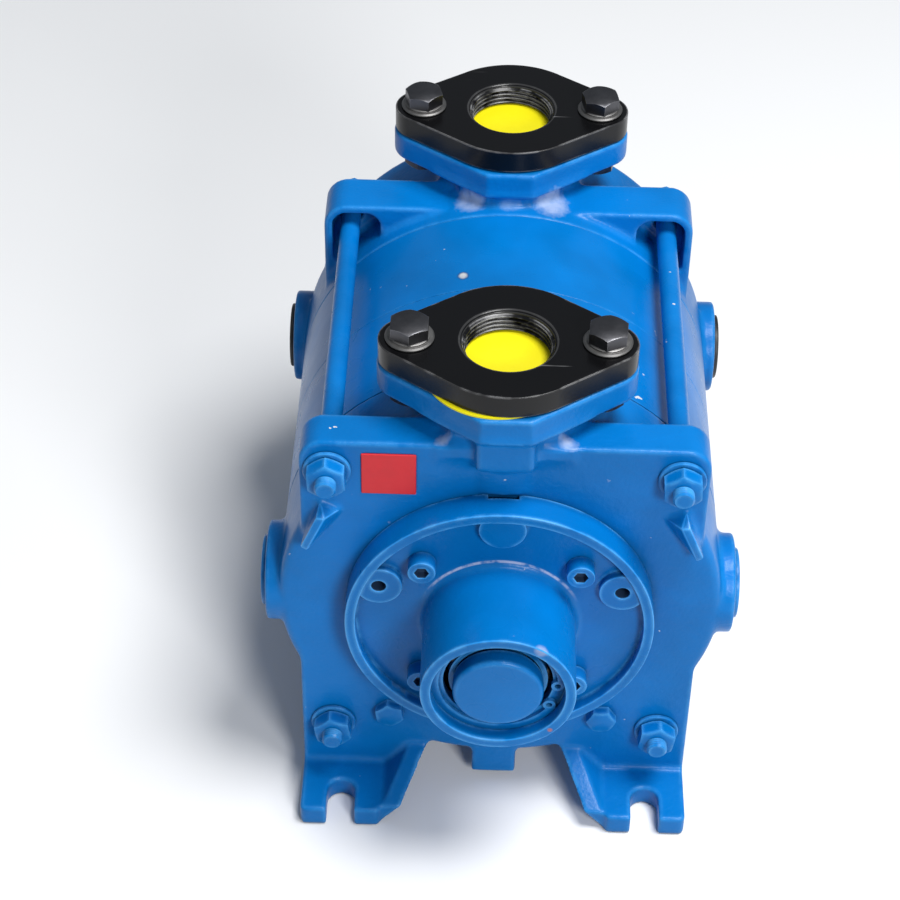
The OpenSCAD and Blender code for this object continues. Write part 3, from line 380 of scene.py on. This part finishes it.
# %% [markdown]
# ## Floor
# A wide disc carries the shadow. It is not part of the pump.
# To the camera and in reflections it is nearly white. Other rays see a greyer floor,
# so that it doesn't throw too much light back up at the pump.

# %% Lay the floor
def pale_floor(name, seen, bounced):
    f = Finish(name, roughness=0.85)
    rays = [f.add("ShaderNodeLightPath", output=kind)
            for kind in ("Is Camera Ray", "Is Glossy Ray", "Is Transmission Ray")]
    looked_at = (rays[0] + rays[1] + rays[2]).clamp()
    f.set("Base Color", f.mix(looked_at, bounced, f.mix(f.noise(3), [c * 0.99 for c in seen], seen)))
    return f.material


bm = bmesh.new()
bmesh.ops.create_circle(bm, cap_ends=True, segments=96, radius=6)
floor_mesh = bpy.data.meshes.new("floor")
bm.to_mesh(floor_mesh)
bm.free()
floor = bpy.data.objects.new("floor", floor_mesh)
floor.data.materials.append(pale_floor("floor_finish", (0.93, 0.93, 0.93), (0.5, 0.5, 0.5)))
scene.collection.objects.link(floor)
print("floor laid")

# %% [markdown]
# ## Making pieces
# Every piece is a mesh at the origin that rides on a CAD body and takes a material slot.
# A copy of a CAD node starts as loose triangles, so its doubles are merged before anything else.
# The faces that a bevel makes get the second material, so that an edge can look rubbed and carry a
# painted highlight.

# %% Piece helpers
def piece(name, bm, finish, body="pump_body", replaces=(), sharp=35, wear_and_highlight=None):
    """Makes an object of a mesh; the second finish goes on the faces that a bevel has marked, for worn
    edges with a painted highlight.
    """
    mesh = bpy.data.meshes.new(name)
    bm.to_mesh(mesh)
    bm.free()
    mesh.shade_smooth()
    mesh.set_sharp_from_angle(angle=math.radians(sharp))
    mesh.materials.append(finish)
    mesh.materials.append(wear_and_highlight or finish)
    item = bpy.data.objects.new(name, mesh)
    scene.collection.objects.link(item)
    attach(item, body)
    if replaces:
        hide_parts(*replaces)
    return item


def cad_copy(name):
    bm = bmesh.new()
    bm.from_mesh(nodes[name].data)
    bmesh.ops.remove_doubles(bm, verts=bm.verts, dist=2e-6)
    return bm


def softened(bm, width, segments=2, angle=32):
    """Joins flat triangles into faces and bevels every outward edge sharper than the angle."""
    bmesh.ops.dissolve_limit(bm, angle_limit=math.radians(0.8), verts=bm.verts, edges=bm.edges)
    sharp = [e for e in bm.edges
             if len(e.link_faces) == 2 and e.calc_face_angle() > math.radians(angle) and e.is_convex]
    made = bmesh.ops.bevel(bm, geom=sharp, offset=width * MM, offset_type="OFFSET", segments=segments,
                           profile=0.5, affect="EDGES", clamp_overlap=True, material=-1)
    for face in made["faces"]:
        face.material_index = 1
    return bm


print("pieces can be copied and softened")

# %% [markdown]
# Round forms are turned, as on a lathe: an outline is spun about Z.
# A form is made once, standing on the origin, and copied to each of its places.

# %% Turning and placing
def turned(outline, steps):
    """Spins an outline of (radius, height) points about Z; off the axis it is a closed loop."""
    bm = bmesh.new()
    verts = [bm.verts.new((r * MM, 0, h * MM)) for r, h in outline]
    edges = [bm.edges.new(pair) for pair in zip(verts, verts[1:])]
    if outline[0][0] > 0:
        edges.append(bm.edges.new((verts[-1], verts[0])))
    bmesh.ops.spin(bm, geom=verts + edges, cent=(0, 0, 0), axis=(0, 0, 1), angle=2 * math.pi,
                   steps=steps, use_merge=True)
    bmesh.ops.remove_doubles(bm, verts=bm.verts, dist=1e-6)
    bmesh.ops.recalc_face_normals(bm, faces=bm.faces)
    return bm


def placed(bm, form, place):
    """Adds a copy of a form to a mesh, in place."""
    mesh = bpy.data.meshes.new("form")
    form.to_mesh(mesh)
    mesh.transform(place)
    bm.from_mesh(mesh)
    bpy.data.meshes.remove(mesh)


def along(way, x, y, z, turn=0.0):
    """Puts +Z along a direction at a point, turned about it by some degrees."""
    facing = Vector(way).to_track_quat("Z", "Y").to_matrix().to_4x4()
    spin = Matrix.Rotation(math.radians(turn), 4, "Z")
    return Matrix.Translation(Vector((x, y, z)) * MM) @ facing @ spin


print("forms can be turned and placed")

# %% [markdown]
# ## Castings
# A sand casting has no sharp edge: the pattern is rounded outside and filleted inside.
# Bevelling a CAD mesh with hundreds of crossing edges is fragile, so the copy is remeshed into voxels.
# Swelling it and shrinking it again fills the inner corners with a fillet, smoothing rounds the outer
# ones, and a decimate brings the count back down. Round the port necks the fillet is wider.

# %% Casting helpers
PORT_Y = 92.5
SMALL_FILLET, NECK_FILLET = 1.6, 7.0
NECK_FOOT_Z, NECK_REACH, NECK_FADE = 229, 46, 12
NECK_RISE, RISE_FADE = 14, 6


def modifier(item, kind, **settings):
    made = item.modifiers.new(kind.lower(), kind)
    for key, value in settings.items():
        setattr(made, key, value)


def settle(item):
    """Turns a piece's modifiers into its mesh."""
    graph = bpy.context.evaluated_depsgraph_get()
    mesh = bpy.data.meshes.new_from_object(item.evaluated_get(graph))
    item.modifiers.clear()
    item.data = mesh


def swell(item, sign):
    """Moves a surface along its normals: a little everywhere, and more around the two port necks."""
    mesh = item.data
    count = len(mesh.vertices)
    points, normals = np.empty(3 * count), np.empty(3 * count)
    mesh.vertices.foreach_get("co", points)
    mesh.vertex_normals.foreach_get("vector", normals)
    points, normals = points.reshape(-1, 3), normals.reshape(-1, 3)
    from_neck = np.hypot(points[:, 0], np.abs(points[:, 1]) - PORT_Y * MM) / MM
    from_foot = np.abs(points[:, 2] / MM - NECK_FOOT_Z)
    wide = (np.clip((NECK_REACH - from_neck) / NECK_FADE, 0, 1)
            * np.clip((NECK_RISE - from_foot) / RISE_FADE, 0, 1))
    reach = SMALL_FILLET + wide * (NECK_FILLET - SMALL_FILLET)
    points += sign * normals * reach[:, None] * MM
    mesh.vertices.foreach_set("co", points.ravel())
    mesh.update()


print("fillets", SMALL_FILLET, NECK_FILLET)

# %% Cast the casings
VOXEL, SMOOTHING, MOST_TRIANGLES = 0.8, 2, 195_000
for end in ("front", "rear"):
    cast = piece(f"{end}_casing_cast", cad_copy(f"{end}_casing"), cast_paint,
                 replaces=[f"{end}_casing"])
    size = VOXEL * 1 * MM
    for sign in (1, -1):
        modifier(cast, "REMESH", mode="VOXEL", voxel_size=size)
        settle(cast)
        swell(cast, sign)
    modifier(cast, "REMESH", mode="VOXEL", voxel_size=size)
    modifier(cast, "SMOOTH", factor=0.5, iterations=SMOOTHING)
    settle(cast)
    count = sum(len(f.vertices) - 2 for f in cast.data.polygons)
    if count > MOST_TRIANGLES:
        modifier(cast, "DECIMATE", ratio=MOST_TRIANGLES / count)
        settle(cast)
    cast.data.shade_smooth()
    print(cast.name, count, "to", len(cast.data.polygons))

# %% [markdown]
# ## Body rings, flanges and small turned pieces
# These are machined, so their edges are only broken: a narrow bevel catches the light along each one.
# Where two rings meet, the two bevels make the fine seam that runs round the drum.
# The walls of screw sockets and tapped holes are repainted dark navy, face by face, as painted shade
# inside the holes.

# %% Machining helpers
HOLE_RADIUS = 3.7


def machined(name, node, finish, width, body="pump_body", segments=2, wear_and_highlight=None):
    """Bevels a copy of a CAD node; weighted normals keep its large faces flat beside the bevels."""
    bm = softened(cad_copy(node), width, segments)
    item = piece(name, bm, finish, body, [node], wear_and_highlight=wear_and_highlight)
    modifier(item, "WEIGHTED_NORMAL", keep_sharp=True)
    return item


def repaint(item, finish, chosen):
    """Gives another finish to the faces whose centre passes a test."""
    item.data.materials.append(finish)
    index = len(item.data.materials) - 1
    faces = [face for face in item.data.polygons if chosen(*(face.center / MM))]
    for face in faces:
        face.material_index = index
    print(item.name, "faces repainted", len(faces))


def in_holes(circle, angles, depth):
    """A test for faces in small holes that stand on a circle round the axis, behind a depth."""
    turns = [math.radians(angle) for angle in angles]
    centres = [(circle * math.cos(t), AXIS_Z + circle * math.sin(t)) for t in turns]
    return lambda x, y, z: abs(y) < depth and any(
        math.hypot(x - cx, z - cz) < HOLE_RADIUS for cx, cz in centres)


print("machining helpers ready")

# %% Bevel the machined pieces
# Socket and hole walls take the dark navy: painted shade.
in_sockets = in_holes(52, (45, 135, 225, 315), 140.2)
in_jacking_holes = in_holes(61.5, (22.5, 157.5), 136.2)
for end in ("front", "rear"):
    machined(f"{end}_ring", f"{end}_body_ring", drum_paint, 0.4)
    machined(f"{end}_oval_flange", f"{end}_companion_flange", black_paint, 0.5,
             wear_and_highlight=black_edge_wear_and_highlight)
    machined(f"{end}_snap_ring", f"{end}_circlip", smooth_paint, 0.25)
    screws = machined(f"{end}_socket_screws", f"{end}_housing_screws", smooth_paint, 0.5,
                      segments=3, wear_and_highlight=edge_wear_and_highlight_paint)
    repaint(screws, hole_shade_paint, in_sockets)
    housing = machined(f"{end}_housing", f"{end}_bearing_housing", smooth_paint, 0.7,
                       segments=3, wear_and_highlight=edge_wear_and_highlight_paint)
    repaint(housing, hole_shade_paint, in_jacking_holes)

# %% [markdown]
# The plugs in the side bosses are black at the rear, while the front ones were painted with the pump.
# The pad on the face is a plain red plate.

# %% Bevel the cap, the side plugs and the pad
machined("front_shaft_cap", "shaft_end_cap", smooth_paint, 0.4, "rotor",
         wear_and_highlight=edge_wear_and_highlight_paint)
side_plugs = machined("side_plugs", "side_port_plugs", black_plastic, 0.8, segments=3)
repaint(side_plugs, smooth_paint, lambda x, y, z: y < 0)
machined("face_pad", "badge", red_paint, 0.5, segments=3)
print("machined pieces ready")

# %% [markdown]
# ## Where the tie rods run
# The lugs, nuts and studs all hang on the four tie rods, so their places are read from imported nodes.

# %% Measure the tie rods
ROD_RADIUS, WASHER = 5, 2
rod_low, rod_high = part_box("tie_rods")
washer_low, washer_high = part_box("tie_rod_washers")
ROD_X = rod_high[0] / MM - ROD_RADIUS
ROD_HIGH, ROD_LOW = rod_high[2] / MM - ROD_RADIUS, rod_low[2] / MM + ROD_RADIUS
FRONT, BACK = washer_low[1] / MM + WASHER, washer_high[1] / MM - WASHER
ROD_LENGTH = (rod_high[1] - rod_low[1]) / MM
print("tie rods at", [round(v, 2) for v in (ROD_X, ROD_LOW, ROD_HIGH)], "length", round(ROD_LENGTH, 2))

# %% [markdown]
# ## Slanted lugs
# Below each upper tie rod a small lug stands on the face, with flat sides that meet in clear edges.
# Its eight corners are joined by a convex hull, and a narrow bevel breaks the edges.

# %% Set the lugs on the face
LUG_FOOT = ((-6.5, -24.3), (3.5, -18.8), (11, -37.3), (7, -43.3))
LUG_TIP = ((1, -22.8), (5, -22.3), (12.5, -40.8), (9.5, -42.8))
LUG_FOOT_Y, LUG_TIP_Y = -123.6, -133.1
lugs = bmesh.new()
for side in (-1, 1):
    lug = bmesh.new()
    for corners, y in ((LUG_FOOT, LUG_FOOT_Y), (LUG_TIP, LUG_TIP_Y)):
        for x, z in corners:
            lug.verts.new(Vector((side * (ROD_X + x), y, ROD_HIGH + z)) * MM)
    bmesh.ops.convex_hull(lug, input=lug.verts)
    bmesh.ops.recalc_face_normals(lug, faces=lug.faces)
    placed(lugs, softened(lug, 0.5, 2, 20), Matrix())
piece("face_lugs", lugs, cast_paint, wear_and_highlight=edge_wear_and_highlight_paint)
print("lugs stand out to", LUG_TIP_Y)

# %% [markdown]
# ## Pipe threads
# The mouths of the oval flanges show the crests of a pipe thread.
# Spinning one small ridge while it climbs by the pitch makes the whole thread.

# %% Cut the flange threads
PORT_RADIUS, PITCH, CREST, TURNS = 20.99, 2.309, 1.45, 3.5


def thread(radius, pitch, depth, turns, steps=64):
    """A helical ridge on the wall of a hole, climbing from its low end."""
    bm = bmesh.new()
    top = radius - depth
    ridge = ((radius, 0), (top, 0.42 * pitch), (top, 0.5 * pitch), (radius, 0.92 * pitch))
    first = bm.faces.new([bm.verts.new((r * MM, 0, z * MM)) for r, z in ridge])
    bmesh.ops.spin(bm, geom=[first], cent=(0, 0, 0), axis=(0, 0, 1), dvec=(0, 0, pitch * MM / steps),
                   angle=2 * math.pi * turns, steps=int(steps * turns))
    bmesh.ops.recalc_face_normals(bm, faces=bm.faces)
    return bm


for end in ("front", "rear"):
    low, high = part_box(f"{end}_companion_flange")
    bm = thread(PORT_RADIUS, PITCH, CREST, TURNS)
    mouth = ((low[0] + high[0]) / 2, (low[1] + high[1]) / 2, low[2] + 0.2 * MM)
    bm.transform(Matrix.Translation(mouth))
    piece(f"{end}_port_thread", bm, black_paint, sharp=20)
print("port threads", PITCH, CREST)

# %% [markdown]
# ## Nuts, bolts and studs
# The corners of a real nut are turned off, so each flat ends in a curved chamfer.
# Here a hexagon is sliced with planes set round a cone, which leaves the same curve in short steps.

# %% Shape the fasteners
def hex_form(across, height, both):
    """A hexagon along +Z with its corners turned off at the top, and below too if both."""
    bm = bmesh.new()
    bmesh.ops.create_circle(bm, cap_ends=True, segments=6, radius=across * MM / math.sqrt(3))
    made = bmesh.ops.extrude_face_region(bm, geom=bm.faces[:])
    top = [v for v in made["geom"] if isinstance(v, bmesh.types.BMVert)]
    bmesh.ops.translate(bm, vec=(0, 0, height * MM), verts=top)
    bmesh.ops.recalc_face_normals(bm, faces=bm.faces)
    for angle in range(0, 360, 12):
        out = Vector((math.cos(math.radians(angle)), math.sin(math.radians(angle)), 0))
        for z, way in ((height, 1), (0, -1))[:2 if both else 1]:
            cut = bmesh.ops.bisect_plane(
                bm, geom=bm.verts[:] + bm.edges[:] + bm.faces[:], clear_outer=True,
                plane_co=(out * 0.475 * across + Vector((0, 0, z))) * MM,
                plane_no=out * 0.5 + Vector((0, 0, 0.866 * way)))
            rim = [e for e in cut["geom_cut"] if isinstance(e, bmesh.types.BMEdge)]
            bmesh.ops.holes_fill(bm, edges=rim)
    bmesh.ops.recalc_face_normals(bm, faces=bm.faces)
    return bm


def threaded(r, pitch, low, high):
    """Outline of a thread's crests and roots between two heights."""
    count = int((high - low) / pitch)
    return [(r - (0.35 if k % 2 else 0.0) * pitch, low + k * pitch / 2) for k in range(2 * count + 1)]


print("fasteners can be shaped")

# %% [markdown]
# ## Tie rods
# Four painted rods clamp the casings together, each with a washer and a nut at either end.
# A spanner leaves nuts at odd angles, so each pair is given a turn.
# The rod is one spun outline, with the thread at both ends as a row of crests.

# %% Fit the tie rods
half_rod = [(0, 0), (4.1, 0), *threaded(ROD_RADIUS, 1.25, 1.0, 11), (ROD_RADIUS, 12)]
rod = turned(half_rod + [(r, ROD_LENGTH - h) for r, h in reversed(half_rod)], 40)
washer = turned([(5.1, 0), (10.6, 0), (11, 0.4), (11, 1.5), (10.6, WASHER), (5.1, WASHER)], 56)
nut = hex_form(17, 8, True)
rods, washers, nuts = bmesh.new(), bmesh.new(), bmesh.new()
for x, z, turn in ((-ROD_X, ROD_LOW, 10), (-ROD_X, ROD_HIGH, 3),
                   (ROD_X, ROD_LOW, -9), (ROD_X, ROD_HIGH, 3)):
    placed(rods, rod, along((0, 1, 0), x, rod_low[1] / MM, z))
    for y, way in ((FRONT, -1), (BACK, 1)):
        placed(washers, washer, along((0, way, 0), x, y, z))
        placed(nuts, nut, along((0, way, 0), x, y + WASHER * way, z, turn))
piece("painted_rods", rods, smooth_paint, replaces=["tie_rods"], sharp=30)
piece("painted_washers", washers, smooth_paint, replaces=["tie_rod_washers"])
piece("painted_nuts", nuts, smooth_paint, replaces=["tie_rod_nuts"])
print("tie rods, washers and nuts ready")

# %% [markdown]
# ## Flange bolts
# Two bolts hold each oval flange to the casting, with a plain and a spring washer under the head.
# The two washers are turned as one stepped ring, and the nuts below are the tie rods' nuts again.
# The thread is a row of crests. A helix would need more faces and look the same at this size.

# %% Bolt the flanges down
BOLT_X, FLANGE_TOP, CAST_UNDER = 44.45, 263.5, 237.7
RING, TAIL = 2.6, 10
head = hex_form(17, 6.4, False)
shank = turned([(0, 0), (4.1, 0), *threaded(5, 1.5, 1.0, 12), (4.95, 14), (4.95, 37.5), (0, 37.5)], 32)
ring = turned([(5.05, 0), (10.7, 0), (11.25, 0.5), (11.25, 1.0), (10.6, 1.6), (9.5, 1.7), (9.5, 2.4),
               (9.2, RING), (5.05, RING)], 56)
bolts, rings, lower = bmesh.new(), bmesh.new(), bmesh.new()
for x, y, turn in ((-BOLT_X, -PORT_Y, 0), (BOLT_X, -PORT_Y, -5),
                   (-BOLT_X, PORT_Y, 15), (BOLT_X, PORT_Y, 11)):
    placed(bolts, head, along((0, 0, 1), x, y, FLANGE_TOP + RING, turn))
    placed(bolts, shank, along((0, 0, 1), x, y, CAST_UNDER - TAIL))
    placed(rings, ring, along((0, 0, 1), x, y, FLANGE_TOP))
    placed(lower, nut, along((0, 0, -1), x, y, CAST_UNDER, turn))
piece("oxide_bolts", bolts, dark_steel, replaces=["flange_bolts"])
piece("oxide_washers", rings, washer_steel, replaces=["flange_washers"])
piece("oxide_nuts", lower, dark_steel, replaces=["flange_nuts"])
print("flange bolts at", BOLT_X, PORT_Y)

# %% [markdown]
# ## Drain plugs
# Low on each face two hexagon plugs close the drain holes. They are painted with the casing.
# The nuts' hexagon serves again, turned off on the outside only, because its foot is hidden.

# %% Screw the plugs in
PLUG_X, PLUG_Z, FACE_Y = 52.5, 50.0, 124.0
plug = hex_form(13, 5, False)
plugs = bmesh.new()
for way, x, turn in ((-1, -PLUG_X, 9), (-1, PLUG_X, 32), (1, -PLUG_X, 55), (1, PLUG_X, 78)):
    placed(plugs, plug, along((0, way, 0), x, way * FACE_Y, PLUG_Z, turn))
piece("painted_plugs", plugs, smooth_paint, replaces=["drain_plugs"])
print("drain plugs at", PLUG_X, PLUG_Z)

# %% [markdown]
# ## The CAD nodes that stay
# The running gear inside keeps its CAD shapes, and each node gets its own metal, rubber or ceramic.
# The front bearing was painted over with the rest, as far as the tube's mouth lets a spray reach.

# %% Finish the CAD nodes that stay
stay = {
    "shaft": bright_steel, "impeller_spacer": bright_steel, "impeller_keys": bright_steel,
    "front_seal_spring": bright_steel, "rear_seal_spring": bright_steel,
    "impeller_circlips": dark_steel,
    "front_outer_race": smooth_paint, "rear_outer_race": smooth_paint,
    "front_inner_race": smooth_paint, "rear_inner_race": greased_steel,
    "front_ball_cage": smooth_paint, "rear_ball_cage": black_plastic,
    "front_bearing_balls": greased_steel, "rear_bearing_balls": greased_steel,
    "front_port_plate": plate_iron, "mid_plate": plate_iron, "rear_port_plate": plate_iron,
    "front_impeller": bronze, "rear_impeller": bronze,
    "body_o_rings": rubber, "housing_o_rings": rubber, "drive_v_ring": rubber,
    "front_seal_seat": ceramic, "rear_seal_seat": ceramic,
    "front_seal_head": carbon, "rear_seal_head": carbon,
    "front_port_disc": yellow_plastic, "rear_port_disc": yellow_plastic,
}
for name, node in nodes.items():
    node.data.materials.clear()
    node.data.materials.append(stay.get(name, cast_paint))
print("kept CAD nodes", len(stay))
